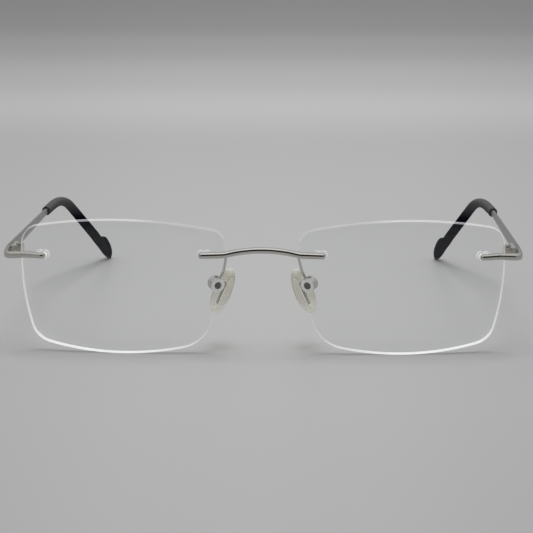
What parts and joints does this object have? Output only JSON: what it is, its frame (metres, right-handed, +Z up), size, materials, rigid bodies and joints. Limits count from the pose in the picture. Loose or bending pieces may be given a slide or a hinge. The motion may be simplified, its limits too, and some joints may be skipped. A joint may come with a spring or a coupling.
{
  "type": "rimless eyeglasses",
  "caption": "Rimless eyeglasses with rectangular clear lenses, a slim polished bridge, adjustable nose pads, and thin folding temples with dark curved tips.",
  "frame": {"origin": "on the surface that the open glasses stand on, in the middle of their footprint", "axes": "+X to the wearer's left, +Y back along the temples, +Z up"},
  "size_m": [0.1406, 0.141, 0.0367],
  "materials": {
    "lens": "clear polished plastic with ground edges",
    "polished_metal": "polished nickel-silver",
    "satin_metal": "satin silver-grey",
    "clear_bushing": "clear moulded plastic",
    "tip_plastic": "semi-gloss black with a navy cast",
    "pad_silicone": "clear soft silicone, slightly yellowed"
  },
  "bodies": {
    "front": {"bridge": "polished_metal", "lens_right": "lens", "lens_left": "lens", "bridge_bushing_right": "clear_bushing", "bridge_bushing_left": "clear_bushing", "endpiece_right": "polished_metal", "endpiece_left": "polished_metal", "endpiece_bushing_right": "clear_bushing", "endpiece_bushing_left": "clear_bushing", "endpiece_hinge_right": "polished_metal", "endpiece_hinge_left": "polished_metal", "hinge_screw_right": "polished_metal", "hinge_screw_left": "polished_metal", "pad_arm_right": "polished_metal", "pad_arm_left": "polished_metal", "pad_box_right": "polished_metal", "pad_box_left": "polished_metal", "pad_screw_right": "polished_metal", "pad_screw_left": "polished_metal"},
    "right_temple": {"temple_right": "satin_metal", "temple_hinge_right": "satin_metal", "temple_tip_right": "tip_plastic"},
    "left_temple": {"temple_left": "satin_metal", "temple_hinge_left": "satin_metal", "temple_tip_left": "tip_plastic"},
    "right_pad": {"nose_pad_right": "pad_silicone", "pad_insert_right": "satin_metal"},
    "left_pad": {"nose_pad_left": "pad_silicone", "pad_insert_left": "satin_metal"}
  },
  "joints": [
    {"name": "right_temple_fold", "type": "hinge", "parent": "front", "child": "right_temple", "pos_m": [-0.06545, -0.05935, 0.0269], "axis": [0, 0, -1], "range_deg": [0, 86]},
    {"name": "left_temple_fold", "type": "hinge", "parent": "front", "child": "left_temple", "pos_m": [0.06545, -0.05935, 0.0269], "axis": [0, 0, 1], "range_deg": [0, 79]},
    {"name": "right_pad_rock", "type": "hinge", "parent": "front", "child": "right_pad", "pos_m": [-0.01255, -0.06075, 0.01795], "axis": [-0.4305, 0.8829, 0.1872], "range_deg": [-10, 10]},
    {"name": "left_pad_rock", "type": "hinge", "parent": "front", "child": "left_pad", "pos_m": [0.01255, -0.06075, 0.01795], "axis": [0.4305, 0.8829, 0.1872], "range_deg": [-10, 10]}
  ]
}
